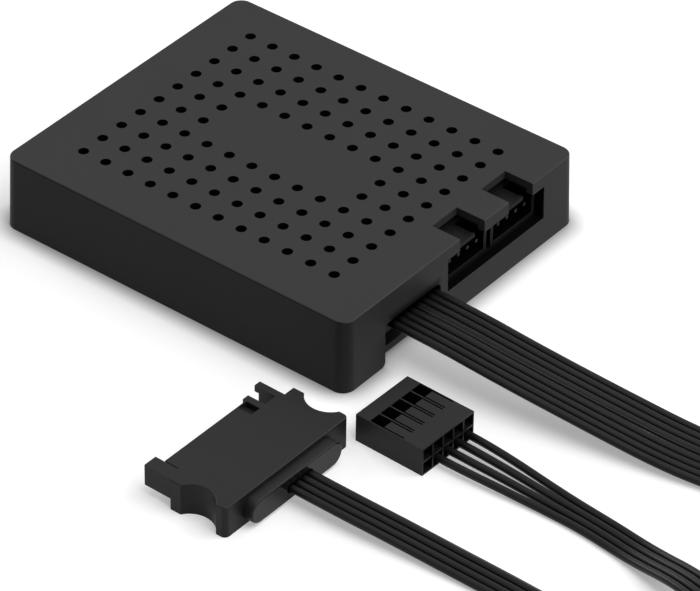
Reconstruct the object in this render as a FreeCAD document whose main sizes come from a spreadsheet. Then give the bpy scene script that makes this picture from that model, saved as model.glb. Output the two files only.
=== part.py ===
"""Fan controller hub: a vented cover over a board with fan and light sockets, two leads and their plugs.

Millimetres. Origin at the middle of the hub's underside, +Z up. +X is the side with the two light
sockets and the lead slot, -X the side with the three fan headers.
"""
import FreeCAD, Part
import math
import os
import re
import Sketcher
from FreeCAD import Placement, Rotation, Vector

doc = FreeCAD.newDocument("fan_controller_hub")
sheet = doc.addObject("Spreadsheet::Sheet", "Sizes")

# Driving sizes, one cell each
sizes = {
    # cover
    "cover_length": 77.0, "cover_width": 65.1, "cover_height": 14.9, "cover_draft": 1.3,
    "cover_wall": 1.4, "cover_top": 1.6, "cover_corner": 2.5, "cover_edge": 0.25,
    "boss_diameter": 4.8, "boss_inset_x": 4.1, "boss_inset_y": 2.9,
    "vent_diameter": 2.0, "vent_margin_x": 10.175, "vent_margin_y": 9.375, "vent_x": -0.365, "vent_y": 0.66,
    "vent_columns": 12, "vent_rows": 10, "bare_columns": 6, "bare_rows": 2,
    # window and notches over the light sockets
    "window_low": 5.65, "window_high": 12.4, "window_side": 0.5,
    "notch_width": 7.0, "notch_depth": 6.1,
    # slot for the leads
    "slot_width": 15.5, "slot_height": 8.75, "slot_round": 1.0, "slot_foot_round": 1.1,
    "slot_y": -14.05,
    # base plate and board
    "base_thickness": 1.5, "base_gap": 0.5, "post_diameter": 5.0, "post_height": 2.9,
    "post_inset_x": 13.1, "post_inset_y": 5.15,
    "board_thickness": 1.6, "board_gap": 0.5, "board_notch": 2.6, "pin_hole": 1.0,
    # screws
    "cover_screw_bore": 2.2, "cover_screw_head": 4.6, "cover_screw_clear": 2.6, "cover_screw_length": 9.0,
    "board_screw_bore": 2.0, "board_screw_head": 4.0, "board_screw_clear": 2.4, "board_screw_length": 3.8,
    "board_screw_head_height": 1.2, "driver_width": 1.0, "driver_depth": 0.6,
    "driver_share": 0.667,
    # light sockets
    "light_y": 9.59, "light_spacing": 13.94, "light_width": 12.8, "light_depth": 11.6,
    "light_height": 6.0, "light_wall": 0.8, "light_back": 2.0, "light_setback": 0.25,
    "light_roof_low": 4.9, "light_roof": 0.9, "light_roof_depth": 6.6,
    "light_tongue": 6.4, "light_tongue_high": 0.4, "light_stem": 2.6, "light_stem_depth": 2.85,
    "light_bar": 6.0, "light_bar_depth": 0.7, "light_bar_high": 0.8,
    # pins of all headers
    "pin_size": 0.64, "pin_pitch": 2.54, "pin_rise": 3.46, "pin_tip_inset": 0.25, "pin_tail": 1.4,
    "pin_leg": 1.0,
    # fan headers
    "fan_y": 0.0, "fan_spacing": 13.0, "fan_width": 10.2, "fan_body": 3.4, "fan_height": 5.9,
    "fan_setback": 0.9, "fan_reach": 9.0, "fan_latch": 1.0, "fan_latch_width": 5.2, "fan_ridge": 0.7,
    # parts on the board
    "chip_side": 7.0, "chip_height": 1.4, "chip_lift": 0.1, "chip_x": 2.0, "chip_y": -8.0,
    "chip_leg_pitch": 0.8, "chip_leg_width": 0.35, "chip_leg_reach": 1.0, "chip_leg_height": 0.7,
    "chip_legs_per_side": 8,
    "driver_chip_length": 4.9, "driver_chip_width": 3.9, "driver_chip_height": 1.5,
    "driver_chip_gap": 4.85, "driver_chip_spacing": 13.0,
    "inductor_side": 6.0, "inductor_height": 3.0, "inductor_round": 1.4,
    "inductor_x": 12.5, "inductor_inset": 10.15, "inductor_spacing": 9.0, "inductor_cap": 4.6, "inductor_step": 0.5,
    "can_diameter": 6.3, "can_height": 5.4, "can_base": 6.6, "can_base_height": 0.8, "can_waist": 0.25,
    "can_waist_height": 1.2, "can_x": -7.5, "can_inset": 9.15, "can_spacing": 8.4,
    "chipcap_length": 2.0, "chipcap_width": 1.25, "chipcap_height": 0.9,
    "chipcap_gap": 1.65, "chipcap_y": 6.0, "chipcap_spacing": 3.2, "chipcap_columns": 4, "chipcap_rows": 2,
    "crystal_length": 11.0, "crystal_width": 4.6, "crystal_height": 3.6, "crystal_x": 2.0, "crystal_y": 3.0,
    # lead clamp on the board
    "clamp_inset": 3.6, "clamp_depth": 4.0, "clamp_width": 16.4, "clamp_height": 5.0, "clamp_round": 0.6,
    # flat leads of four wires each
    "wire_diameter": 1.45, "wire_pitch": 1.6, "lead_between": 6.55, "lead_shift": 0.125, "lead_height": 8.0,
    # coil of the put-away length
    "coil_x": 163.0, "coil_y": -24.0, "coil_outer": 36.5, "coil_inner": 29.5,
    "coil_rise": 2.4, "coil_turns": 1.56, "tie_thickness": 0.5, "tie_width": 6.0,
    "tail_clear": 2.0, "tail_level": 9.0, "hub_straight": 12.5, "plug_straight": 9.0,
    # power plug, from the middle of its wire side
    "power_x": 47.1, "power_y": -58.5, "power_turn": -0.7,
    "power_width": 31.9, "power_height": 6.3, "flange_depth": 11.95, "nose_depth": 15.83,
    "nose_side": 3.2, "scallop_radius": 4.5, "scallop_x": -5.93, "scallop_depth": 2.14,
    "power_corner": 1.0, "power_edge": 0.25,
    "lug_reach": 17.75, "lug_width": 2.8, "lug_inset": 0.2, "lug_lift": 2.05, "slit_length": 2.95,
    "arm_one_y": 7.9, "arm_one_reach": 16.5, "arm_two_y": 12.05, "arm_two_reach": 17.4, "arm_width": 1.4,
    "arm_two_lift": 1.6, "arm_hook": 0.9, "arm_plate": 1.3,
    "recess_width": 2.3, "recess_depth": 3.1, "recess_lip": 0.2, "recess_drop": 1.2, "gap_depth": 12.8,
    "slot_long": 20.0, "slot_tall": 2.5, "slot_deep": 7.5, "slot_low": 2.2, "slot_shift": 1.7,
    "slot_key": 1.4, "slot_key_rise": 0.9,
    "contact_count": 15, "contact_pitch": 1.27, "contact_width": 0.84, "contact_thickness": 0.3,
    "contact_length": 6.5,
    "rear_cap_width": 23.4, "rear_cap_height": 4.8, "rear_cap_depth": 2.1,
    "rear_cap_low": 0.6, "rear_cap_edge": 0.3,
    "power_exit_y": 0.7, "wire_hole": 1.95, "wire_hole_depth": 1.3,
    # data plug, from its middle
    "data_x": 54.83, "data_y": -34.23, "data_turn": -1.5,
    "data_length": 14.5, "data_width": 13.6, "data_height": 5.65, "data_pitch": 2.7, "data_cell": 2.33,
    "data_end": 1.0, "data_pin_gate": 1.1, "data_columns": 5,
    "data_window": 2.9, "data_window_width": 2.42, "data_band": 2.9, "data_slit": 0.3, "data_tongue": 4.4,
    "terminal_gap": 0.1, "terminal_bore": 1.0, "terminal_length": 8.0, "terminal_inset": 4.0,
    # how far a cut runs past the face that it opens
    "past": 1.0,
}
for row, (alias, value) in enumerate(sizes.items(), start=1):
    sheet.set(f"A{row}", alias.replace("_", " "))
    sheet.set(f"B{row}", str(value))
    sheet.setAlias(f"B{row}", alias)
doc.recompute()


def size(alias):
    """Value of one cell of the sheet."""
    return float(sheet.get(alias))


def bind(target, prop, formula):
    """Bind a property to a formula of the sheet's aliases."""
    target.setExpression(prop, re.sub(r"\b[a-z][a-z0-9_]*\b(?!\()", r"Sizes.\g<0>", formula))


# Lengths that several parts share, as formulas of the cells
inner_x = "(cover_length / 2 - cover_wall)"
inner_y = "(cover_width / 2 - cover_wall)"
board_low = "(base_thickness + post_height)"
board_high = "(base_thickness + post_height + board_thickness)"
ceiling = "(cover_height - cover_top)"
boss_x = f"({inner_x} - boss_inset_x)"
boss_y = f"({inner_y} - boss_inset_y)"
light_rim = f"({inner_x} - light_setback)"
fan_rim = f"(-{inner_x} + fan_setback)"
rear_half = "(fan_spacing + fan_width / 2 + window_side)"
vent_pitch_x = "((cover_length - 2 * vent_margin_x) / (vent_columns - 1))"
vent_pitch_y = "((cover_width - 2 * vent_margin_y) / (vent_rows - 1))"
post_x = f"({inner_x} - post_inset_x)"
post_y = f"({inner_y} - post_inset_y)"
light_centres = [f"(light_y + ({side}) * light_spacing / 2)" for side in (-1, 1)]
fan_centres = [f"(fan_y + ({side}) * fan_spacing)" for side in (-1, 0, 1)]
light_back_x = f"({light_rim} - light_depth)"
light_leg = f"({light_back_x} - pin_leg)"
fan_back_x = f"({fan_rim} + fan_reach + fan_body)"
fan_leg = f"({fan_back_x} + pin_leg)"
pin_z = f"({board_high} + pin_rise)"
pin_low = f"({pin_z} - pin_size / 2)"
pin_high = f"({pin_z} + pin_size / 2)"


def body(name):
    new = doc.addObject("PartDesign::Body", name)
    new.Label = name
    return new


def sketch(owner, name, plane, height=None):
    """Sketch on one of the body's own origin planes, raised by a formula if one is given."""
    new = owner.newObject("Sketcher::SketchObject", name)
    new.AttachmentSupport = (next(f for f in owner.Origin.OriginFeatures if f.Role == plane), [""])
    new.MapMode = "FlatFace"
    if height:
        bind(new, "AttachmentOffset.Base.z", height)
    return new


def rectangles(owner, name, plane, boxes, height=None):
    """Sketch of rectangles, each given by formulas of its two low and two high limits."""
    new = sketch(owner, name, plane, height)
    for index, (u_low, u_high, v_low, v_high) in enumerate(boxes):
        first = 4 * index
        start = 10.0 * index
        corners = [Vector(start, 0, 0), Vector(start + 5, 0, 0), Vector(start + 5, 5, 0), Vector(start, 5, 0)]
        for side in range(4):
            new.addGeometry(Part.LineSegment(corners[side], corners[(side + 1) % 4]))
        for side in range(4):
            new.addConstraint(Sketcher.Constraint("Coincident", first + side, 2, first + (side + 1) % 4, 1))
            way = "Horizontal" if side % 2 == 0 else "Vertical"
            new.addConstraint(Sketcher.Constraint(way, first + side))
        for way, end, value, formula in (("DistanceX", 1, start, u_low), ("DistanceY", 1, 0.0, v_low),
                                         ("DistanceX", 3, start + 5, u_high), ("DistanceY", 3, 5.0, v_high)):
            corner = first if end == 1 else first + 2
            number = new.addConstraint(Sketcher.Constraint(way, -1, 1, corner, 1, value))
            bind(new, f"Constraints[{number}]", formula)
    return new


def polygon(owner, name, plane, corners, height=None):
    """Sketch of one straight-sided outline, each corner given by two formulas."""
    new = sketch(owner, name, plane, height)
    count = len(corners)
    drawn = [Vector(math.cos(2 * math.pi * k / count), math.sin(2 * math.pi * k / count), 0) for k in range(count)]
    for side in range(count):
        new.addGeometry(Part.LineSegment(drawn[side], drawn[(side + 1) % count]))
    for side in range(count):
        new.addConstraint(Sketcher.Constraint("Coincident", side, 2, (side + 1) % count, 1))
    for side, (u, v) in enumerate(corners):
        for way, value, formula in (("DistanceX", drawn[side].x, u), ("DistanceY", drawn[side].y, v)):
            number = new.addConstraint(Sketcher.Constraint(way, -1, 1, side, 1, value))
            bind(new, f"Constraints[{number}]", formula)
    return new


def circles(owner, name, plane, spots, height=None):
    """Sketch of circles, each given by formulas of its centre and diameter."""
    new = sketch(owner, name, plane, height)
    for index, (u, v, diameter) in enumerate(spots):
        new.addGeometry(Part.Circle(Vector(10.0 * index, 0, 0), Vector(0, 0, 1), 2.0))
        for kind, value, formula in (("DistanceX", 10.0 * index, u), ("DistanceY", 0.0, v)):
            number = new.addConstraint(Sketcher.Constraint(kind, -1, 1, index, 3, value))
            bind(new, f"Constraints[{number}]", formula)
        number = new.addConstraint(Sketcher.Constraint("Diameter", index, 4.0))
        bind(new, f"Constraints[{number}]", diameter)
    return new


def pad(owner, name, profile, length, reverse=False):
    new = owner.newObject("PartDesign::Pad", name)
    new.Profile = profile
    new.Reversed = reverse
    bind(new, "Length", length)
    return new


def pocket(owner, name, profile, length, reverse=False):
    new = owner.newObject("PartDesign::Pocket", name)
    new.Profile = profile
    new.Reversed = reverse
    bind(new, "Length", length)
    return new


def edges_where(feature, test):
    """Names of the edges of a feature whose middle, direction and length pass a test."""
    doc.recompute()
    names = []
    for number, edge in enumerate(feature.Shape.Edges, start=1):
        middle = edge.valueAt((edge.FirstParameter + edge.LastParameter) / 2)
        along = edge.tangentAt((edge.FirstParameter + edge.LastParameter) / 2)
        if test(edge, middle, along):
            names.append(f"Edge{number}")
    return names


def round_edges(owner, name, feature, radius, test):
    new = owner.newObject("PartDesign::Fillet", name)
    new.Base = (feature, edges_where(feature, test))
    bind(new, "Radius", radius)
    return new


def bevel_edges(owner, name, feature, width, test):
    new = owner.newObject("PartDesign::Chamfer", name)
    new.Base = (feature, edges_where(feature, test))
    bind(new, "Size", width)
    return new


def repeat(owner, name, feature_cut, axis, count, pitch):
    """Repeat a cut along one of the body's own axes."""
    new = owner.newObject("PartDesign::LinearPattern", name)
    new.Originals = [feature_cut]
    new.Direction = (next(f for f in owner.Origin.OriginFeatures if f.Role == axis), [""])
    new.Mode = "Spacing"
    bind(new, "Offset", pitch)
    bind(new, "Occurrences", count)
    owner.Tip = new
    return new


def box(name, x_low, x_high, y_low, y_high, z_low, z_high):
    """Part box between formulas of its limits."""
    new = doc.addObject("Part::Box", name)
    for prop, low, high in (("Length", x_low, x_high), ("Width", y_low, y_high), ("Height", z_low, z_high)):
        bind(new, prop, f"({high}) - ({low})")
    for axis, low in (("x", x_low), ("y", y_low), ("z", z_low)):
        bind(new, f"Placement.Base.{axis}", low)
    return new


def cylinder(name, x, y, z_low, z_high, diameter):
    new = doc.addObject("Part::Cylinder", name)
    bind(new, "Radius", f"({diameter}) / 2")
    bind(new, "Height", f"({z_high}) - ({z_low})")
    for axis, formula in (("x", x), ("y", y), ("z", z_low)):
        bind(new, f"Placement.Base.{axis}", formula)
    return new


def fuse(name, *shapes):
    new = doc.addObject("Part::MultiFuse", name)
    new.Shapes = list(shapes)
    return new


def cut(name, base, *tools):
    """Base less the tools, which are joined first when there are several."""
    new = doc.addObject("Part::Cut", name)
    new.Base = base
    new.Tool = tools[0] if len(tools) == 1 else fuse(f"{name}_tools", *tools)
    return new


def group(name, *pieces):
    """Like pieces that stay separate solids, in one named node."""
    new = doc.addObject("Part::Compound", name)
    new.Links = list(pieces)
    return node(new, name)


def mirrored(name, source, normal):
    new = doc.addObject("Part::Mirroring", name)
    new.Source = source
    new.Normal = normal
    return new


nodes = []


def node(shape, name):
    """Name a finished sub-part and keep it for export."""
    shape.Label = name
    nodes.append(shape)
    return shape


def four_corners(name, source):
    """A piece and its copies in the other three corners."""
    beside = mirrored(f"{name}_beside", source, Vector(1, 0, 0))
    across = mirrored(f"{name}_across", source, Vector(0, 1, 0))
    opposite = mirrored(f"{name}_opposite", beside, Vector(0, 1, 0))
    return group(name, source, beside, across, opposite)


def corner_spots(x, y, diameter):
    return [(f"{sx}{x}", f"{sy}{y}", diameter) for sx in ("", "-") for sy in ("", "-")]


def build_cover():
    """Moulded cover: drafted shell with vents, socket windows, notches and the lead slot."""
    cover = body("hub_cover")
    splay = "cover_height * tan(cover_draft * 1deg)"
    half_x = f"(cover_length / 2 + {splay})"
    half_y = f"(cover_width / 2 + {splay})"
    foot = rectangles(cover, "cover_foot", "XY_Plane", [(f"-{half_x}", half_x, f"-{half_y}", half_y)])
    block = pad(cover, "cover_block", foot, "cover_height")
    bind(block, "TaperAngle", "-cover_draft")
    corners = round_edges(cover, "cover_corners", block, "cover_corner",
                          lambda edge, middle, along: abs(along.z) > 0.9)
    round_edges(cover, "cover_top_edge", corners, "cover_edge",
                lambda edge, middle, along: middle.z > size("cover_height") - 0.01)
    hollow = rectangles(cover, "cover_hollow", "XY_Plane", [(f"-{inner_x}", inner_x, f"-{inner_y}", inner_y)])
    inside = pocket(cover, "cover_inside", hollow, ceiling, reverse=True)
    hollow_round = "cover_corner - cover_wall"
    round_edges(cover, "cover_inside_corners", inside, hollow_round,
                lambda edge, middle, along: abs(along.z) > 0.99 and edge.Length < size("cover_height") - 1
                and abs(middle.x) < size("cover_length") / 2 - 1)
    bosses = circles(cover, "cover_boss_circles", "XY_Plane", corner_spots(boss_x, boss_y, "boss_diameter"),
                     "base_thickness")
    pad(cover, "cover_bosses", bosses, f"{ceiling} - base_thickness")
    bores = circles(cover, "cover_bore_circles", "XY_Plane", corner_spots(boss_x, boss_y, "cover_screw_bore"),
                    "base_thickness")
    pocket(cover, "cover_bores", bores, "cover_screw_length - base_thickness", reverse=True)
    light_half = "(light_spacing / 2 + light_width / 2 + window_side)"
    window = rectangles(cover, "light_window", "YZ_Plane",
                        [(f"light_y - {light_half}", f"light_y + {light_half}", "window_low", "window_high")])
    pocket(cover, "light_window_cut", window, half_x, reverse=True)
    rear = rectangles(cover, "fan_window", "YZ_Plane",
                      [(f"fan_y - {rear_half}", f"fan_y + {rear_half}", "window_low", "window_high")])
    pocket(cover, "fan_window_cut", rear, half_x)
    slot = rectangles(cover, "lead_slot", "YZ_Plane",
                      [("slot_y - slot_width / 2", "slot_y + slot_width / 2", "-base_thickness", "slot_height")])
    slot_cut = pocket(cover, "lead_slot_cut", slot, half_x, reverse=True)

    def in_slot(middle, high):
        at_side = abs(abs(middle.y - size("slot_y")) - size("slot_width") / 2) < 0.05
        at_height = middle.z > 1.0 if high else middle.z < 0.05
        return at_side and at_height and middle.x > size("cover_length") / 2 - size("cover_wall") - 0.05

    shoulders = round_edges(cover, "slot_shoulders", slot_cut, "slot_round",
                            lambda edge, middle, along: abs(along.x) > 0.9 and in_slot(middle, True)
                            and abs(middle.z - size("slot_height")) < 0.05)
    round_edges(cover, "slot_feet", shoulders, "slot_foot_round",
                lambda edge, middle, along: abs(along.x) > 0.9 and in_slot(middle, False))
    notches = rectangles(cover, "light_notches", "XY_Plane",
                         [("cover_length / 2 - notch_depth", half_x, f"{y} - notch_width / 2",
                           f"{y} + notch_width / 2") for y in light_centres], "cover_height")
    pocket(cover, "light_notch_cut", notches, "cover_height - window_high")
    build_vents(cover)
    return node(cover, "hub_cover")


def build_vents(cover):
    """Grid of round vents that leaves a bare patch in its middle."""
    side_columns = "((vent_columns - bare_columns) / 2)"
    low_x = f"(vent_x - (vent_columns - 1) / 2 * {vent_pitch_x})"
    right_x = f"({low_x} + ({side_columns} + bare_columns) * {vent_pitch_x})"
    rows = int(size("vent_rows"))
    bare = range((rows - int(size("bare_rows"))) // 2, (rows + int(size("bare_rows"))) // 2)
    full = [row for row in range(rows) if row not in bare]
    for name, x, block_rows, columns in (("full", low_x, full, "vent_columns"), ("left", low_x, bare, side_columns),
                                         ("right", right_x, bare, side_columns)):
        spots = [(x, f"vent_y + ({row} - (vent_rows - 1) / 2) * {vent_pitch_y}", "vent_diameter")
                 for row in block_rows]
        column = circles(cover, f"vent_column_{name}", "XY_Plane", spots, "cover_height")
        repeat(cover, f"vents_{name}", pocket(cover, f"vent_{name}", column, "cover_top"), "X_Axis", columns,
               vent_pitch_x)


def build_base():
    """Base plate with the board's posts and countersunk screw holes."""
    base = body("base_plate")
    half_x = f"({inner_x} - base_gap)"
    half_y = f"({inner_y} - base_gap)"
    plate_outline = rectangles(base, "base_outline", "XY_Plane", [(f"-{half_x}", half_x, f"-{half_y}", half_y)])
    plate = pad(base, "base_sheet", plate_outline, "base_thickness")
    round_edges(base, "base_corners", plate, "cover_corner - cover_wall",
                lambda edge, middle, along: abs(along.z) > 0.9)
    posts = circles(base, "post_circles", "XY_Plane", corner_spots(post_x, post_y, "post_diameter"),
                    "base_thickness")
    pad(base, "posts", posts, "post_height")
    bores = circles(base, "post_bore_circles", "XY_Plane", corner_spots(post_x, post_y, "board_screw_bore"),
                    board_low)
    pocket(base, "post_bores", bores, "board_screw_length - board_thickness")
    holes = circles(base, "screw_hole_circles", "XY_Plane", corner_spots(boss_x, boss_y, "cover_screw_clear"))
    drilled = pocket(base, "screw_holes", holes, "base_thickness", reverse=True)
    bevel_edges(base, "screw_countersinks", drilled, "(cover_screw_head - cover_screw_clear) / 2",
                lambda edge, middle, along: len(edge.Vertexes) == 1 and middle.z < 0.01
                and abs(edge.Length - math.pi * size("cover_screw_clear")) < 0.01)
    return node(base, "base_plate")


def header_pin_spots():
    """Formulas of the places where the pins of every header go through the board."""
    spots = []
    for centre in light_centres + fan_centres:
        leg_x = light_leg if centre in light_centres else fan_leg
        for step in (-1.5, -0.5, 0.5, 1.5):
            spots.append((leg_x, f"{centre} + ({step}) * pin_pitch", "pin_hole"))
    return spots


def build_board():
    """Circuit board, notched round the cover's bosses and drilled for screws and pins."""
    board = body("circuit_board")
    half_x = f"({inner_x} - board_gap)"
    half_y = f"({inner_y} - board_gap)"
    outline = rectangles(board, "board_outline", "XY_Plane", [(f"-{half_x}", half_x, f"-{half_y}", half_y)],
                         board_low)
    pad(board, "board_sheet", outline, "board_thickness")
    notch_x = f"({boss_x} - board_notch - board_gap)"
    notch_y = f"({boss_y} - board_notch - board_gap)"
    corners = [(notch_x, f"{half_x} + past", notch_y, f"{half_y} + past"),
               (f"-{half_x} - past", f"-{notch_x}", notch_y, f"{half_y} + past"),
               (f"-{half_x} - past", f"-{notch_x}", f"-{half_y} - past", f"-{notch_y}"),
               (notch_x, f"{half_x} + past", f"-{half_y} - past", f"-{notch_y}")]
    notches = rectangles(board, "board_notches", "XY_Plane", corners, board_low)
    pocket(board, "board_notch_cut", notches, "board_thickness", reverse=True)
    screws = circles(board, "board_screw_circles", "XY_Plane",
                     corner_spots(post_x, post_y, "board_screw_clear"), board_low)
    pocket(board, "board_screw_holes", screws, "board_thickness", reverse=True)
    pins = circles(board, "board_pin_circles", "XY_Plane", header_pin_spots(), board_low)
    pocket(board, "board_pin_holes", pins, "board_thickness", reverse=True)
    return node(board, "circuit_board")


def pin_slots(name, centre, x_low, x_high):
    """Four square bars on the pins' lines, used to cut a header's wall."""
    return [box(f"{name}_{number}", x_low, x_high, f"{centre} + ({step}) * pin_pitch - pin_size / 2",
                f"{centre} + ({step}) * pin_pitch + pin_size / 2", pin_low, pin_high)
            for number, step in enumerate((-1.5, -0.5, 0.5, 1.5), start=1)]


def build_light_socket(name, centre):
    """Shrouded right-angle header whose roof ends in a thin tongue with a raised stem and cross bar."""
    half = "light_width / 2"
    shell = box(f"{name}_shell", light_back_x, light_rim, f"{centre} - {half}", f"{centre} + {half}",
                board_high, f"{board_high} + light_height")
    cavity = box(f"{name}_cavity", f"{light_back_x} + light_back", f"{light_rim} + past",
                 f"{centre} - {half} + light_wall", f"{centre} + {half} - light_wall",
                 f"{board_high} + light_wall", f"{board_high} + light_height + past")
    holes = pin_slots(f"{name}_pin_slot", centre, f"{light_back_x} - past", light_rim)
    open_shell = cut(f"{name}_open_shell", shell, cavity, *holes)
    roof_low = f"({board_high} + light_roof_low)"
    roof = box(f"{name}_roof", f"{light_back_x} + light_back", f"{light_back_x} + light_roof_depth",
               f"{centre} - {half} + light_wall", f"{centre} + {half} - light_wall", roof_low,
               f"{roof_low} + light_roof")
    tongue = box(f"{name}_tongue", f"{light_back_x} + light_roof_depth", f"{light_rim} - light_bar_depth",
                 f"{centre} - light_tongue / 2", f"{centre} + light_tongue / 2", roof_low,
                 f"{roof_low} + light_tongue_high")
    stem = box(f"{name}_stem", f"{light_rim} - light_stem_depth", light_rim, f"{centre} - light_stem / 2",
               f"{centre} + light_stem / 2", roof_low, f"{roof_low} + light_bar_high")
    bar = box(f"{name}_bar", f"{light_rim} - light_bar_depth", light_rim, f"{centre} - light_bar / 2",
              f"{centre} + light_bar / 2", roof_low, f"{roof_low} + light_bar_high")
    return node(fuse(name, open_shell, roof, tongue, stem, bar), name)


def build_fan_header(name, centre):
    """Right-angle fan header: a pin block with a latch tongue under its pins."""
    half = "fan_width / 2"
    block_low = f"({fan_back_x} - fan_body)"
    block = box(f"{name}_block", block_low, fan_back_x, f"{centre} - {half}", f"{centre} + {half}", board_high,
                f"{board_high} + fan_height")
    tongue = box(f"{name}_tongue", fan_rim, block_low, f"{centre} - fan_latch_width / 2",
                 f"{centre} + fan_latch_width / 2", board_high, f"{board_high} + fan_latch")
    ridge = doc.addObject("Part::Wedge", f"{name}_ridge")
    for prop, formula in (("Xmin", "0"), ("Xmax", "3 * fan_ridge"), ("Ymin", "0"), ("Ymax", "fan_ridge"),
                          ("Zmin", "0"), ("Zmax", "fan_latch_width"), ("X2min", "2 * fan_ridge"),
                          ("X2max", "3 * fan_ridge"), ("Z2min", "0"), ("Z2max", "fan_latch_width")):
        bind(ridge, prop, formula)
    ridge.Placement = Placement(Vector(), Rotation(Vector(1, 0, 0), 90))
    for axis, formula in (("x", fan_rim), ("y", f"{centre} + fan_latch_width / 2"),
                          ("z", f"{board_high} + fan_latch")):
        bind(ridge, f"Placement.Base.{axis}", formula)
    holes = pin_slots(f"{name}_pin_slot", centre, f"{block_low} - past", f"{fan_back_x} + past")
    whole = fuse(f"{name}_whole", block, tongue, ridge)
    return node(cut(name, whole, *holes), name)


def build_pins(name, centres, tip, leg):
    """Square pins, each bent down through the board behind its header."""
    pieces = []
    outward = "1" if name.startswith("light") else "-1"
    for header, centre in enumerate(centres, start=1):
        for number, step in enumerate((-1.5, -0.5, 0.5, 1.5), start=1):
            label = f"{name}_{header}_{number}"
            y_low = f"{centre} + ({step}) * pin_pitch - pin_size / 2"
            y_high = f"{centre} + ({step}) * pin_pitch + pin_size / 2"
            inner = f"{leg} - ({outward}) * pin_size / 2"
            low, high = (inner, tip) if outward == "1" else (tip, inner)
            level = box(f"{label}_level", low, high, y_low, y_high, pin_low, pin_high)
            upright = box(f"{label}_upright", f"{leg} - pin_size / 2", f"{leg} + pin_size / 2", y_low, y_high,
                          f"{board_low} - pin_tail", f"{pin_z}")
            pieces.append(fuse(label, level, upright))
    return group(name, *pieces)


def crossed_drive(name, x, y, half, low, high):
    """Two crossing bars that cut a screw's recess."""
    return [box(f"{name}_drive_long", f"{x} - {half}", f"{x} + {half}", f"{y} - driver_width / 2",
                f"{y} + driver_width / 2", low, high),
            box(f"{name}_drive_wide", f"{x} - driver_width / 2", f"{x} + driver_width / 2", f"{y} - {half}",
                f"{y} + {half}", low, high)]


def build_screws():
    """Countersunk screws into the cover and pan-head screws that hold the board."""
    head = doc.addObject("Part::Cone", "cover_screw_head_cone")
    bind(head, "Radius1", "cover_screw_head / 2")
    bind(head, "Radius2", "cover_screw_bore / 2")
    bind(head, "Height", "(cover_screw_head - cover_screw_bore) / 2")
    bind(head, "Placement.Base.x", boss_x)
    bind(head, "Placement.Base.y", boss_y)
    shank = cylinder("cover_screw_shank", boss_x, boss_y, "0", "cover_screw_length", "cover_screw_bore")
    half = "cover_screw_head * driver_share / 2"
    across = crossed_drive("cover_screw", boss_x, boss_y, half, "-driver_depth", "driver_depth")
    four_corners("cover_screws", cut("cover_screw", fuse("cover_screw_solid", head, shank), *across))
    top = f"({board_high} + board_screw_head_height)"
    pan = cylinder("board_screw_pan", post_x, post_y, board_high, top, "board_screw_head")
    stud = cylinder("board_screw_stud", post_x, post_y, f"{board_high} - board_screw_length", board_high,
                    "board_screw_bore")
    half = "board_screw_head * driver_share / 2"
    drive = crossed_drive("board_screw", post_x, post_y, half, f"{top} - driver_depth", f"{top} + driver_depth")
    four_corners("board_screws", cut("board_screw", fuse("board_screw_solid", pan, stud), *drive))


def build_controller_chip():
    """Square controller chip with a row of bent legs on each side."""
    chip = body("controller_chip")
    low_x, high_x = "chip_x - chip_side / 2", "chip_x + chip_side / 2"
    outline = rectangles(chip, "chip_outline", "XY_Plane",
                         [(low_x, high_x, "chip_y - chip_side / 2", "chip_y + chip_side / 2")], board_high)
    block = pad(chip, "chip_block", outline, "chip_height")
    bevel_edges(chip, "chip_bevel", block, "chip_lift",
                lambda edge, middle, along: abs(along.z) > 0.9)
    node(chip, "controller_chip")
    legs = []
    for side in range(4):
        leg = Part.makeBox(size("chip_leg_reach"), size("chip_leg_width"), size("chip_leg_height") / 4)
        rise = Part.makeBox(size("chip_leg_height") / 4, size("chip_leg_width"), size("chip_leg_height"))
        leg = leg.fuse(rise).removeSplitter()
        for number in range(int(size("chip_legs_per_side"))):
            offset = (number - (size("chip_legs_per_side") - 1) / 2) * size("chip_leg_pitch")
            copy = leg.copy()
            copy.translate(Vector(size("chip_side") / 2, offset - size("chip_leg_width") / 2, 0))
            copy.rotate(Vector(), Vector(0, 0, 1), 90 * side)
            copy.translate(Vector(size("chip_x"), size("chip_y"), board_top()))
            legs.append(copy)
    feature("controller_chip_legs", Part.makeCompound(legs))


def board_top():
    return size("base_thickness") + size("post_height") + size("board_thickness")


def feature(name, shape):
    """Sub-part whose shape comes from Part's own functions."""
    new = doc.addObject("Part::Feature", name)
    new.Shape = shape
    new.Placement = Placement()
    return node(new, name)


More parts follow.
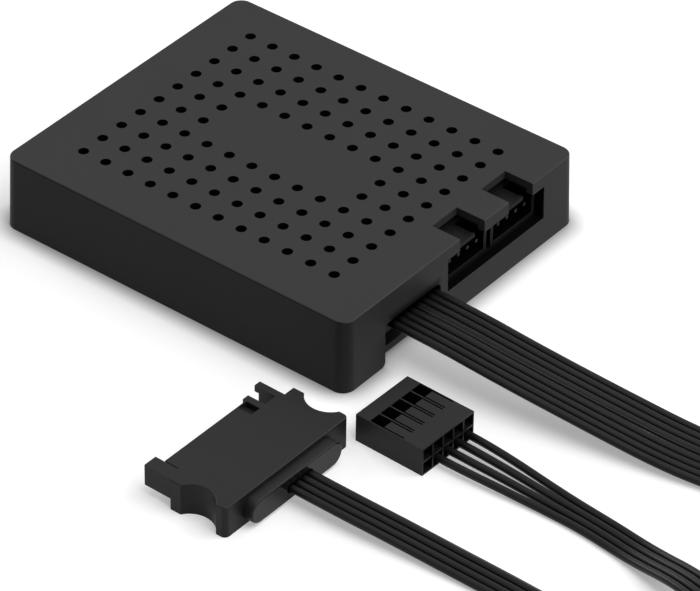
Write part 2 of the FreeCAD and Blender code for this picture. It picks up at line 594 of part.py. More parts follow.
def build_board_parts():
    """Driver chips, inductors, capacitors and the crystal, seated on the board."""
    drivers = []
    driver_low = f"({fan_leg} + driver_chip_gap)"
    for number, side in enumerate((-1, 0, 1), start=1):
        y = f"(fan_y + ({side}) * driver_chip_spacing)"
        drivers.append(box(f"driver_chip_{number}", driver_low, f"{driver_low} + driver_chip_length",
                           f"{y} - driver_chip_width / 2",
                           f"{y} + driver_chip_width / 2", board_high, f"{board_high} + driver_chip_height"))
    group("driver_chips", *drivers)

    inductors = []
    inductor_y = f"(-{inner_y} + inductor_inset)"
    for number, side in enumerate((-1, 1), start=1):
        x = f"(inductor_x + ({side}) * inductor_spacing / 2)"
        block = box(f"inductor_block_{number}", f"{x} - inductor_side / 2", f"{x} + inductor_side / 2",
                    f"{inductor_y} - inductor_side / 2", f"{inductor_y} + inductor_side / 2", board_high,
                    f"{board_high} + inductor_height - inductor_step")
        rounded = doc.addObject("Part::Fillet", f"inductor_rounded_{number}")
        rounded.Base = block
        doc.recompute()
        rounded.Edges = [(index, size("inductor_round"), size("inductor_round"))
                         for index, edge in enumerate(block.Shape.Edges, start=1)
                         if abs(edge.tangentAt(edge.FirstParameter).z) > 0.9]
        lid = cylinder(f"inductor_lid_{number}", x, inductor_y, f"{board_high} + inductor_height - inductor_step",
                       f"{board_high} + inductor_height", "inductor_cap")
        inductors.append(fuse(f"inductor_{number}", rounded, lid))
    group("power_inductors", *inductors)

    cans = []
    can_y = f"(-{inner_y} + can_inset)"
    for number, side in enumerate((-1, 0, 1), start=1):
        x = f"(can_x + ({side}) * can_spacing)"
        foot = box(f"can_foot_{number}", f"{x} - can_base / 2", f"{x} + can_base / 2", f"{can_y} - can_base / 2",
                   f"{can_y} + can_base / 2", board_high, f"{board_high} + can_base_height")
        waist = cylinder(f"can_waist_{number}", x, can_y, f"{board_high} + can_base_height",
                         f"{board_high} + can_waist_height", "can_diameter - 2 * can_waist")
        can = cylinder(f"can_{number}", x, can_y, f"{board_high} + can_waist_height",
                       f"{board_high} + can_height", "can_diameter")
        cans.append(fuse(f"capacitor_{number}", foot, waist, can))
    group("electrolytic_capacitors", *cans)

    row = []
    for column in range(int(size("chipcap_columns"))):
        high = f"({light_leg} - chipcap_gap - ({column}) * chipcap_spacing)"
        for line in range(int(size("chipcap_rows"))):
            low_y = f"(chipcap_y + ({line}) * chipcap_spacing)"
            row.append(box(f"chip_capacitor_{column}_{line}", f"{high} - chipcap_length", high, low_y,
                           f"{low_y} + chipcap_width", board_high, f"{board_high} + chipcap_height"))
    group("chip_capacitors", *row)

    crystal = body("crystal")
    half = "(crystal_length - crystal_width) / 2"
    middle = rectangles(crystal, "crystal_middle", "XY_Plane",
                        [(f"crystal_x - {half}", f"crystal_x + {half}", "crystal_y - crystal_width / 2",
                          "crystal_y + crystal_width / 2")], board_high)
    pad(crystal, "crystal_can_middle", middle, "crystal_height")
    for side, sign in (("left", "-"), ("right", "+")):
        end = circles(crystal, f"crystal_end_{side}", "XY_Plane",
                      [(f"crystal_x {sign} {half}", "crystal_y", "crystal_width")], board_high)
        pad(crystal, f"crystal_can_{side}", end, "crystal_height")
    node(crystal, "crystal")


def build_clamp():
    """Clamp bar on the board that the two leads come out of, over the board's edge."""
    clamp = body("lead_clamp")
    high_x = f"({inner_x} - clamp_inset)"
    outline = rectangles(clamp, "clamp_outline", "XY_Plane",
                         [(f"{high_x} - clamp_depth", high_x, "slot_y - clamp_width / 2",
                           "slot_y + clamp_width / 2")], board_high)
    block = pad(clamp, "clamp_block", outline, "clamp_height")
    round_edges(clamp, "clamp_edges", block, "clamp_round",
                lambda edge, middle, along: abs(along.y) > 0.9 and middle.z > board_top() + 1)
    return node(clamp, "lead_clamp")


def plug_placement(prefix):
    """Placement of a plug that lies on the floor, turned a little."""
    turn = Rotation(Vector(0, 0, 1), size(f"{prefix}_turn"))
    return Placement(Vector(size(f"{prefix}_x"), size(f"{prefix}_y"), 0), turn)


def place_plug(shape, prefix):
    shape.Placement = Placement(Vector(), Rotation(Vector(0, 0, 1), size(f"{prefix}_turn")))
    bind(shape, "Placement.Base.x", f"{prefix}_x")
    bind(shape, "Placement.Base.y", f"{prefix}_y")


def build_power_plug():
    """Flat drive-power plug: a flange with scalloped sides, a long nose, a lug and two latch arms."""
    plug = body("power_plug_housing")
    half = "power_width / 2"
    flange = rectangles(plug, "flange_outline", "XY_Plane", [("-flange_depth", "0", f"-{half}", half)])
    block = pad(plug, "flange", flange, "power_height")
    round_edges(plug, "flange_corners", block, "power_corner",
                lambda edge, middle, along: abs(along.z) > 0.9 and middle.x > -0.1)
    scallops = circles(plug, "scallop_circles", "XY_Plane",
                       [("scallop_x", f"{sign}({half} + scallop_radius - scallop_depth)", "2 * scallop_radius")
                        for sign in ("-", "")])
    scalloped = pocket(plug, "scallops", scallops, "power_height", reverse=True)
    round_edges(plug, "flange_top_edge", scalloped, "power_edge",
                lambda edge, middle, along: middle.z > size("power_height") - 0.01
                and middle.x > -size("flange_depth") + 0.01)
    nose = rectangles(plug, "nose_outline", "XY_Plane",
                      [("-nose_depth", "-flange_depth + past", f"-{half} + nose_side", "arm_one_y + arm_width")])
    pad(plug, "nose", nose, "power_height")
    step = rectangles(plug, "nose_step_outline", "XY_Plane",
                      [("-gap_depth", "-flange_depth + past", "arm_one_y", "arm_two_y + arm_width")])
    pad(plug, "nose_step", step, "power_height")
    lug = rectangles(plug, "lug_outline", "XY_Plane",
                     [("-lug_reach", "-flange_depth + past", f"-{half} + lug_inset",
                       f"-{half} + lug_inset + lug_width")], "lug_lift")
    pad(plug, "lug", lug, "power_height - lug_lift")
    lug_web = rectangles(plug, "lug_web_outline", "XY_Plane",
                         [("-nose_depth + slit_length", "-flange_depth + past",
                           f"-{half} + lug_inset + lug_width - past / 10", f"-{half} + nose_side + past")])
    pad(plug, "lug_web", lug_web, "power_height")
    slope = polygon(plug, "recess_outline", "YZ_Plane",
                    [("arm_one_y - recess_width", "power_height"), ("arm_one_y", "power_height - recess_drop"),
                     ("arm_one_y", "power_height + past"), ("arm_one_y - recess_width", "power_height + past")],
                    "-nose_depth + recess_depth")
    pocket(plug, "recess", slope, "recess_depth - recess_lip")
    arm_one = rectangles(plug, "arm_one_outline", "XY_Plane",
                         [("-arm_one_reach", "-flange_depth", "arm_one_y", "arm_one_y + arm_width")],
                         "power_height - arm_plate")
    pad(plug, "arm_one", arm_one, "arm_plate")
    arm_two = rectangles(plug, "arm_two_outline", "XY_Plane",
                         [("-arm_two_reach + arm_hook", "-flange_depth", "arm_two_y", "arm_two_y + arm_width")],
                         "arm_two_lift")
    pad(plug, "arm_two", arm_two, "power_height - arm_two_lift")
    hook = rectangles(plug, "arm_two_hook_outline", "XY_Plane",
                      [("-arm_two_reach", "-flange_depth", "arm_two_y", "arm_two_y + arm_width")],
                      "power_height - arm_plate")
    pad(plug, "arm_two_hook", hook, "arm_plate")
    mouth = rectangles(plug, "mouth_outline", "YZ_Plane",
                       [("-slot_long / 2 - slot_shift", "slot_long / 2 - slot_shift", "slot_low",
                         "slot_low + slot_tall")], "-nose_depth - past")
    pocket(plug, "mouth", mouth, "slot_deep + past", reverse=True)
    key = rectangles(plug, "mouth_key_outline", "YZ_Plane",
                     [("-slot_long / 2 - slot_shift", "-slot_long / 2 - slot_shift + slot_key", "slot_low",
                       "slot_low + slot_tall + slot_key_rise")], "-nose_depth - past")
    pocket(plug, "mouth_key", key, "slot_deep + past", reverse=True)
    place_plug(plug, "power")
    node(plug, "power_plug_housing")

    cap = body("power_plug_rear_cap")
    cap_half = "(rear_cap_width - rear_cap_height) / 2"
    middle = rectangles(cap, "rear_cap_middle", "YZ_Plane",
                        [(f"-{cap_half}", cap_half, "rear_cap_low", "rear_cap_low + rear_cap_height")])
    pad(cap, "rear_cap_block", middle, "rear_cap_depth")
    for side, sign in (("left", "-"), ("right", "")):
        end = circles(cap, f"rear_cap_end_{side}", "YZ_Plane",
                      [(f"{sign}{cap_half}", "rear_cap_low + rear_cap_height / 2", "rear_cap_height")])
        last = pad(cap, f"rear_cap_round_{side}", end, "rear_cap_depth")
    round_edges(cap, "rear_cap_edge_round", last, "rear_cap_edge",
                lambda edge, middle, along: middle.x > size("rear_cap_depth") - 0.01)
    wires = circles(cap, "wire_hole_circles", "YZ_Plane",
                    [(f"power_exit_y + ({step}) * wire_pitch", "rear_cap_low + rear_cap_height / 2", "wire_hole")
                     for step in (-1.5, -0.5, 0.5, 1.5)], "rear_cap_depth")
    pocket(cap, "wire_holes", wires, "wire_hole_depth")
    place_plug(cap, "power")
    node(cap, "power_plug_rear_cap")

    contacts = []
    for number in range(int(size("contact_count"))):
        y = (number - (size("contact_count") - 1) / 2) * size("contact_pitch") - size("slot_shift")
        contact = Part.makeBox(size("contact_length"), size("contact_width"), size("contact_thickness"))
        contact.translate(Vector(-size("nose_depth") + size("slot_deep") - size("contact_length"),
                                 y - size("contact_width") / 2, size("slot_low")))
        contacts.append(contact)
    new = feature("power_plug_contacts", Part.makeCompound(contacts))
    new.Placement = plug_placement("power")


def build_data_plug():
    """Two-row plug housing with latch windows, slit tongues and open wire cells."""
    plug = body("data_plug_housing")
    half_x, half_y = "(data_length / 2)", "(data_width / 2)"
    outline = rectangles(plug, "data_outline", "XY_Plane", [(f"-{half_x}", half_x, f"-{half_y}", half_y)])
    pad(plug, "data_block", outline, "data_height")
    first_y = "(-(data_columns - 1) / 2 * data_pitch)"
    per_column = ("Y_Axis", "data_columns", "data_pitch")
    rows = [f"(data_height / 2 + ({side}) * data_pitch / 2)" for side in (-1, 1)]
    cells = rectangles(plug, "cell_outline", "YZ_Plane",
                       [(f"{first_y} - data_cell / 2", f"{first_y} + data_cell / 2", f"{z} - data_cell / 2",
                         f"{z} + data_cell / 2") for z in rows], f"-{half_x} + data_end")
    repeat(plug, "cells", pocket(plug, "cell_pair", cells, "data_length", reverse=True), *per_column)
    gates = rectangles(plug, "gate_outline", "YZ_Plane",
                       [(f"{first_y} - data_pin_gate / 2", f"{first_y} + data_pin_gate / 2",
                         f"{z} - data_pin_gate / 2", f"{z} + data_pin_gate / 2") for z in rows],
                       f"-{half_x} - past")
    repeat(plug, "gates", pocket(plug, "gate_pair", gates, "data_end + 1.5 * past", reverse=True), *per_column)
    window_low = f"(-{half_x} + data_band)"
    tongue_low = f"({window_low} + data_window)"
    wide = "data_window_width / 2"
    slots = [(window_low, tongue_low, f"{first_y} - {wide}", f"{first_y} + {wide}"),
             (f"{tongue_low} - past / 10", f"{tongue_low} + data_tongue", f"{first_y} - {wide}",
              f"{first_y} - {wide} + data_slit"),
             (f"{tongue_low} - past / 10", f"{tongue_low} + data_tongue", f"{first_y} + {wide} - data_slit",
              f"{first_y} + {wide}")]
    skin = "(data_height - data_pitch - data_cell) / 2 + past / 3"
    for side, height, up in (("top", "data_height", False), ("under", None, True)):
        for kind, area in (("window", slots[0]), ("slit_near", slots[1]), ("slit_far", slots[2])):
            shape = rectangles(plug, f"{side}_{kind}_outline", "XY_Plane", [area], height)
            repeat(plug, f"{side}_{kind}s", pocket(plug, f"{side}_{kind}", shape, skin, reverse=up), *per_column)
    place_plug(plug, "data")
    node(plug, "data_plug_housing")

    terminals = []
    for number in range(1, int(size("data_columns"))):
        y = (number - (size("data_columns") - 1) / 2) * size("data_pitch")
        z = size("data_height") / 2 - size("data_pitch") / 2
        side = size("data_cell") - size("terminal_gap")
        bore = size("terminal_bore")
        start = size("data_length") / 2 - size("terminal_inset") - size("terminal_length")
        outer = Part.makeBox(size("terminal_length"), side, side, Vector(start, y - side / 2, z - side / 2))
        inner = Part.makeBox(size("terminal_length") + 2, bore, bore, Vector(start - 1, y - bore / 2, z - bore / 2))
        terminals.append(outer.cut(inner))
    new = feature("data_plug_terminals", Part.makeCompound(terminals))
    new.Placement = plug_placement("data")


def tangent_point(start, centre, radius, side):
    """Point where a line from start touches a circle, on its left (1) or right (-1), and the line's way."""
    gap = Vector(centre.x - start.x, centre.y - start.y, 0)
    angle = math.atan2(gap.y, gap.x) + side * math.asin(radius / gap.Length)
    way = Vector(math.cos(angle), math.sin(angle), 0)
    return Vector(start.x, start.y, 0) + way * math.sqrt(gap.Length ** 2 - radius ** 2), way


def rounded_path(points):
    """Straight runs joined by tangent arcs as large as their two runs allow."""
    edges = []
    radii = []
    last = points[0]
    for before, corner, after in zip(points, points[1:], points[2:]):
        into, out = corner - before, after - corner
        turn = into.getAngle(out)
        shorter = min(into.Length, out.Length)
        radius = 0.45 * shorter / math.tan(turn / 2)
        radii.append(radius)
        into.normalize()
        out.normalize()
        start = corner - into * (0.45 * shorter)
        end = corner + out * (0.45 * shorter)
        towards = out - into
        towards.normalize()
        centre = corner + towards * (radius / math.cos(turn / 2))
        middle = centre - towards * radius
        edges.append(Part.LineSegment(last, start).toShape())
        edges.append(Part.Arc(start, middle, end).toShape())
        last = end
    edges.append(Part.LineSegment(last, points[-1]).toShape())
    return Part.Wire(edges), radii


def flat_section(start, way):
    """Flat lead's section, level across and square to its way."""
    across = Vector(0, 0, 1).cross(way)
    across.normalize()
    rise = way.cross(across)
    rise.normalize()
    wide = (3 * size("wire_pitch") + size("wire_diameter")) / 2
    thick = size("wire_diameter") / 2
    corners = [start + across * (a * wide) + rise * (b * thick) for a, b in ((-1, -1), (1, -1), (1, 1), (-1, 1))]
    return Part.makePolygon(corners + corners[:1])


def build_run(name, points):
    """Plain tube along one loose stretch of a lead."""
    path, radii = rounded_path(points)
    way = points[1] - points[0]
    way.normalize()
    section = flat_section(points[0], way)
    sweep = Part.BRepOffsetAPI.MakePipeShell(path)
    sweep.setBiNormalMode(Vector(0, 0, 1))
    sweep.add(section, False, False)
    sweep.build()
    sweep.makeSolid()
    tube = sweep.shape()
    width = 3 * size("wire_pitch") + size("wire_diameter")
    expected = width * size("wire_diameter") * path.Length
    print(f"{name}: length {path.Length:.1f} mm, radii {[round(r, 1) for r in radii]}, "
          f"volume {tube.Volume:.1f} of {expected:.1f}, low {tube.BoundBox.ZMin:.3f}")
    feature(name, tube)


# Where each lead goes after its straight start, chosen by hand, until it turns to the coil
power_hub_way = [(62.0, -10.7, 6.9), (79.0, -8.4, 4.0), (94.0, -6.35, 1.7), (107.0, -3.3, 0.85)]
data_hub_way = [(62.0, -17.2, 6.9), (79.0, -14.95, 4.0), (93.0, -13.1, 1.7), (104.0, -10.85, 0.85)]
power_plug_way = [(68.0, -57.1, 2.2), (80.0, -56.3, 1.2), (92.0, -56.0, 0.8), (107.0, -56.6, 0.9)]
data_plug_way = [(82.0, -33.4, 0.78), (93.0, -34.0, 0.76), (103.0, -35.4, 0.9)]


def lead_exits():
    """Exit point and straight start of each lead at the hub's clamp and at its plug."""
    clamp_face = size("cover_length") / 2 - size("cover_wall") - size("clamp_inset")
    exits = {}
    for lead, side in (("power", 1), ("data", -1)):
        exits[f"{lead}_lead_hub_run"] = (
            Vector(clamp_face, size("slot_y") + size("lead_shift") + side * size("lead_between") / 2,
                   size("lead_height")),
            Vector(size("hub_straight"), 0, 0))
    cap_middle = size("rear_cap_low") + size("rear_cap_height") / 2
    low_row = size("data_height") / 2 - size("data_pitch") / 2
    for lead, on_plug in (("power", Vector(size("rear_cap_depth"), size("power_exit_y"), cap_middle)),
                          ("data", Vector(size("data_length") / 2, size("data_pitch") / 2, low_row))):
        placement = plug_placement(lead)
        exits[f"{lead}_lead_plug_run"] = (placement.multVec(on_plug),
                                          placement.Rotation.multVec(Vector(size("plug_straight"), 0, 0)))
    return exits


def build_leads():
    """Two flat leads, coiled together flat on the floor beyond the plugs, and the tie round the coil."""
    centre = Vector(size("coil_x"), size("coil_y"), 0)
    width = 3 * size("wire_pitch") + size("wire_diameter")
    thick = size("wire_diameter")
    low = size("tie_thickness")
    high = low + thick + size("coil_turns") * size("coil_rise")
    outer = size("coil_outer") + width / 2
    inner = size("coil_inner") - width / 2
    ring = Part.makeCylinder(outer, high - low, centre + Vector(0, 0, low))
    ring = ring.cut(Part.makeCylinder(inner, high, centre))
    tails = []
    exits = lead_exits()
    for name, way_points, radius, side, level in (
            ("power_lead_hub_run", power_hub_way, size("coil_outer"), 1, low + thick / 2),
            ("data_lead_hub_run", data_hub_way, size("coil_inner"), 1, low + thick / 2),
            ("power_lead_plug_run", power_plug_way, size("coil_outer"), -1, high - thick / 2),
            ("data_lead_plug_run", data_plug_way, size("coil_inner"), -1, high - thick / 2)):
        exit_point, straight = exits[name]
        points = [exit_point, exit_point + straight] + [Vector(*point) for point in way_points]
        touch, way = tangent_point(points[-1], centre, radius, side)
        length = math.sqrt(outer ** 2 - (radius - width / 2) ** 2) + size("tail_clear")
        tail_start = touch - way * length + Vector(0, 0, level)
        tails.append(Part.Face(flat_section(tail_start, way)).extrude(way * length))
        build_run(name, points + [tail_start - way * size("tail_level"), tail_start])
    feature("lead_coil", ring.fuse(tails).removeSplitter())

    skin = size("tie_thickness")
    band_low = Vector(centre.x + inner - skin, centre.y - size("tie_width") / 2, low - skin)
    band = Part.makeBox(outer - inner + 2 * skin, size("tie_width"), high - low + 2 * skin, band_low)
    feature("coil_tie", band.cut(ring))


def check_and_write():
    """Stop on any failed object or shape, then write each sub-part to its own file."""
    doc.recompute()
    for thing in doc.Objects:
        if "Invalid" in thing.State or "Error" in thing.State:
            raise RuntimeError(f"{thing.Name} failed: {thing.State}")
    os.makedirs("parts", exist_ok=True)
    for part in nodes:
        if part.Shape.isNull() or not part.Shape.isValid():
            raise RuntimeError(f"{part.Label} has no valid shape")
    for part in nodes:
        print(f"{part.Label}: {len(part.Shape.Solids)} solids, {part.Shape.Volume:.1f} mm3")
        part.Shape.exportStep(f"parts/{part.Label}.step")


build_cover()
build_base()
build_board()
for number, centre in enumerate(light_centres, start=1):
    build_light_socket(f"light_socket_{number}", centre)
for number, centre in enumerate(fan_centres, start=1):
    build_fan_header(f"fan_header_{number}", centre)
build_pins("light_pins", light_centres, f"{light_rim} - pin_tip_inset", light_leg)
build_pins("fan_pins", fan_centres, f"{fan_rim} + pin_tip_inset", fan_leg)
build_screws()
build_controller_chip()
build_board_parts()
build_clamp()
build_power_plug()
build_data_plug()
build_leads()
check_and_write()
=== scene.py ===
import math

import bpy
import numpy as np
from mathutils import Matrix, Vector


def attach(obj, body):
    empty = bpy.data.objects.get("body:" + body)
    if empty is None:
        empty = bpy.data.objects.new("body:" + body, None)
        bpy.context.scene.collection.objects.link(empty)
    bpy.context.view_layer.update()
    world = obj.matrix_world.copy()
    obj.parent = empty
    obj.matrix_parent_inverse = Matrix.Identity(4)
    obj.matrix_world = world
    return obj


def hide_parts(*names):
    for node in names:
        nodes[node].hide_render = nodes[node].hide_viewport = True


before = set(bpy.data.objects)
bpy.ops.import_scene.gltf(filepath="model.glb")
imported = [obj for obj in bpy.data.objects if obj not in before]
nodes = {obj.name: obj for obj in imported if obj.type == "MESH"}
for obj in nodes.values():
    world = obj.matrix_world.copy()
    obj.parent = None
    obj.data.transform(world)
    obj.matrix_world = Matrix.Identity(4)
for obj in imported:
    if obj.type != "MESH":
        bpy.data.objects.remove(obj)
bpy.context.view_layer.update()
scene = bpy.context.scene
print("frame loaded,", len(nodes), "CAD nodes")


# The photograph's camera: place in metres, degrees with the azimuth from -Y towards +X, lens in millimetres
photoView = {
    "place": (0.434701, -0.538562, 0.514740),
    "azimuth": 38.0044, "elevation": 37.5068, "roll": 0.8516,
    "lens": 248.62, "sensor": 36.0, "nearest": 0.01, "farthest": 20,
}


def placeCamera(view):
    # back points from the hub to the camera, right is level, up is back x right; both roll about back
    azimuth, elevation, roll = (math.radians(view[k]) for k in ("azimuth", "elevation", "roll"))
    level = math.cos(elevation)
    back = Vector((math.sin(azimuth) * level, -math.cos(azimuth) * level, math.sin(elevation)))
    right = Vector((math.cos(azimuth), math.sin(azimuth), 0))
    up = back.cross(right)
    turned = right * math.cos(roll) + up * math.sin(roll)
    raised = up * math.cos(roll) - right * math.sin(roll)
    data = bpy.data.cameras.new("photoCamera")
    data.sensor_width, data.lens = view["sensor"], view["lens"]
    data.clip_start, data.clip_end = view["nearest"], view["farthest"]
    camera = bpy.data.objects.new("photoCamera", data)
    facing = Matrix((turned, raised, back)).transposed().to_4x4()
    camera.matrix_world = Matrix.Translation(view["place"]) @ facing
    scene.collection.objects.link(camera)
    scene.camera = camera


placeCamera(photoView)
print("camera placed")


# edges that turn by more than this stay sharp
sharpFrom = math.radians(40)


def addPiece(name, points, faces):
    mesh = bpy.data.meshes.new(name)
    mesh.from_pydata(np.asarray(points, float).reshape(-1, 3).tolist(), [], faces)
    mesh.validate()
    mesh.shade_smooth()
    mesh.set_sharp_from_angle(angle=sharpFrom)
    piece = bpy.data.objects.new(name, mesh)
    scene.collection.objects.link(piece)
    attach(piece, "root")
    return piece


def closedTube(rings, first):
    # quads between neighbouring rings, whose points go round, and one flat face over each end;
    # they point outwards where the points run anticlockwise about the way of the rings
    rows, columns = rings.shape[:2]
    row, column = np.meshgrid(np.arange(rows - 1), np.arange(columns), indexing="ij")
    beside = (column + 1) % columns
    quads = np.stack([row * columns + column, row * columns + beside,
                      (row + 1) * columns + beside, (row + 1) * columns + column], axis=-1)
    start = np.arange(columns)[::-1]
    end = np.arange(columns) + (rows - 1) * columns
    return (quads.reshape(-1, 4) + first).tolist() + [(start + first).tolist(), (end + first).tolist()]


def smoothStep(share):
    # 3s^2 - 2s^3, from 0 to 1 and level at both ends
    return share * share * (3 - 2 * share)


# Flat leads, four wires side by side. Points are part.py's route in metres, hub first;
# at the hub the data lead lies 0.2 mm further out, for the wider gap that the photograph shows.
leadForm = {
    "wires": 4, "wireRadius": 0.000725, "wirePitch": 0.0016, "webHalf": 0.0001, "width": 0.00625,
    "lobeSteps": 11, "splineOrder": 3, "smoothing": 8, "samePoint": 0.000001,
    "ridgeSteps": 37, "ridgeAngle": 2.66, "ridgeSpread": 0.11, "ridgeHeight": 0.00015,
    "coilCentre": (0.163, -0.024), "coilLow": 0.001225, "coilRise": 0.0024, "coilTurns": 1.56,
    "pointsPerTurn": 18, "tailLevel": 0.009, "tailClear": 0.002,
}
powerLead = {
    "hub": [(0.0335, -0.01065, 0.0080), (0.0460, -0.01065, 0.0080), (0.0620, -0.0107, 0.0069),
            (0.0790, -0.0084, 0.0040), (0.0940, -0.00635, 0.0017), (0.1070, -0.0033, 0.00085)],
    "plug": [(0.049208, -0.057826, 0.0030), (0.058207, -0.057936, 0.0030),
             (0.0680, -0.0571, 0.0022), (0.0800, -0.0563, 0.0012), (0.0920, -0.0560, 0.0008),
             (0.1070, -0.0566, 0.0009)],
    "radius": 0.0365, "length": 0.595, "fan": None, "inside": 0.0012, "ridge": True,
}
dataLead = {
    "hub": [(0.0335, -0.0174, 0.0080), (0.0460, -0.0174, 0.0080), (0.0620, -0.0174, 0.0069),
            (0.0790, -0.01515, 0.0040), (0.0930, -0.0132, 0.0017), (0.1040, -0.01085, 0.00085)],
    "plug": [(0.062113, -0.033070, 0.001475), (0.071110, -0.033306, 0.001475),
             (0.0820, -0.0334, 0.00078), (0.0930, -0.0340, 0.00076), (0.1030, -0.0354, 0.0009)],
    "radius": 0.0295, "length": 0.51, "fan": {"pitch": 0.0027, "reach": 0.034, "join": 0.002},
    "inside": 0.0036, "ridge": False,
}


def tailPoints(start, radius, side, level, form):
    # the line from start that touches the coil's circle on the given side, cut where the flat lead clears
    # the outer turn
    centre = Vector((*form["coilCentre"], 0))
    foot = Vector((start[0], start[1], 0))
    gap = centre - foot
    angle = math.atan2(gap.y, gap.x) + side * math.asin(radius / gap.length)
    way = Vector((math.cos(angle), math.sin(angle), 0))
    touch = foot + way * math.sqrt(gap.length ** 2 - radius ** 2)
    outer = powerLead["radius"] + form["width"] / 2
    tail = math.sqrt(outer ** 2 - (radius - form["width"] / 2) ** 2) + form["tailClear"]
    begin = touch - way * tail + Vector((0, 0, level))
    turned = math.atan2(touch.y - centre.y, touch.x - centre.x)
    return [begin - way * form["tailLevel"], begin], turned


def leadRoute(lead, form):
    # hub points, tail, coil turns running clockwise and rising evenly, tail, plug points;
    # the coil's points lie at r / cos(half a step), so that the spline touches the circle between them
    low, high = form["coilLow"], form["coilLow"] + form["coilRise"] * form["coilTurns"]
    coilX, coilY = form["coilCentre"]
    radius = lead["radius"]
    hubTail, hubAngle = tailPoints(lead["hub"][-1], radius, 1, low, form)
    plugTail, plugAngle = tailPoints(lead["plug"][-1], radius, -1, high, form)
    turn = (hubAngle - plugAngle) % (2 * math.pi) + 2 * math.pi
    count = math.ceil(turn / (2 * math.pi) * form["pointsPerTurn"])
    reach = radius / math.cos(turn / count / 2)
    coil = []
    for step in range(count + 1):
        share = step / count
        angle = hubAngle - turn * share
        coil.append((coilX + reach * math.cos(angle), coilY + reach * math.sin(angle),
                     low + (high - low) * share))
    return lead["hub"] + hubTail + coil + plugTail[::-1] + lead["plug"][::-1]


def splineLine(name, route, form):
    # the route's NURBS spline, read as points
    curve = bpy.data.curves.new(name, "CURVE")
    curve.dimensions = "3D"
    curve.resolution_u = form["smoothing"]
    spline = curve.splines.new("NURBS")
    spline.points.add(len(route) - 1)
    for point, place in zip(spline.points, route):
        point.co = (*place, 1)
    spline.order_u = form["splineOrder"]
    spline.use_endpoint_u = True
    holder = bpy.data.objects.new(name, curve)
    mesh = bpy.data.meshes.new_from_object(holder)
    line = np.zeros(len(mesh.vertices) * 3)
    mesh.vertices.foreach_get("co", line)
    bpy.data.meshes.remove(mesh)
    bpy.data.objects.remove(holder)
    bpy.data.curves.remove(curve)
    line = line.reshape(-1, 3)
    return line[np.r_[True, np.linalg.norm(np.diff(line, axis=0), axis=1) > form["samePoint"]]]


def levelFrames(line):
    # across is level and square to the line's way, rise is square to both
    along = np.gradient(line, axis=0)
    along /= np.linalg.norm(along, axis=1)[:, None]
    across = np.cross([0, 0, 1], along)
    across /= np.linalg.norm(across, axis=1)[:, None]
    return across, np.cross(along, across)


def wireOffset(wire, pitch):
    # how far across a wire lies from the lead's middle: -1.5, -0.5, 0.5 and 1.5 times the pitch
    return (wire - (leadForm["wires"] - 1) / 2) * pitch


def lobedHalf(form, side, ridge):
    # from left to right one arc (r cos a, r sin a) for each wire, up to the web's edge, turned down for
    # side -1; a ridge adds h exp(-((a - a0) / w)^2) to the first wire's r
    edge = math.asin(form["webHalf"] / form["wireRadius"])
    half = []
    for wire in range(form["wires"]):
        ridged = ridge and wire == 0
        start = math.pi if wire == 0 else math.pi - edge
        end = 0 if wire == form["wires"] - 1 else edge
        angles = np.linspace(start, end, form["ridgeSteps"] if ridged else form["lobeSteps"])
        bump = np.exp(-((angles - form["ridgeAngle"]) / form["ridgeSpread"]) ** 2) if ridged else 0
        reach = form["wireRadius"] + form["ridgeHeight"] * bump
        across = wireOffset(wire, form["wirePitch"]) + reach * np.cos(angles)
        half.append(np.stack([across, side * reach * np.sin(angles)], axis=1))
    return np.concatenate(half)


def lobedProfile(form, ridge):
    # anticlockwise seen from the plug: the lower half from left to right, then the upper half back
    return np.concatenate([lobedHalf(form, 1, ridge), lobedHalf(form, -1, False)[-2:0:-1]])[::-1]


def ringsAlong(line, across, rise, profile):
    # the profile carried along the line: line + x across + z rise
    return line[:, None] + across[:, None] * profile[None, :, :1] + rise[:, None] * profile[None, :, 1:]


def markRidge(piece, profile, ringCount, form):
    # point attribute for the ridge's painted highlight: height of the ridge over h on the first wire's upper
    # side, elsewhere 0
    firstWire = profile - [wireOffset(0, form["wirePitch"]), 0]
    bump = np.linalg.norm(firstWire, axis=1) - form["wireRadius"]
    here = (profile[:, 0] < -form["wirePitch"]) & (profile[:, 1] > 0)
    share = np.clip(np.where(here, bump / form["ridgeHeight"], 0), 0, 1)
    ridgeHighlight = np.zeros(len(piece.data.vertices))
    ridgeHighlight[:ringCount * len(profile)] = np.tile(share, ringCount)
    piece.data.attributes.new("ridgeHighlight", "FLOAT", "POINT").data.foreach_set("value", ridgeHighlight)


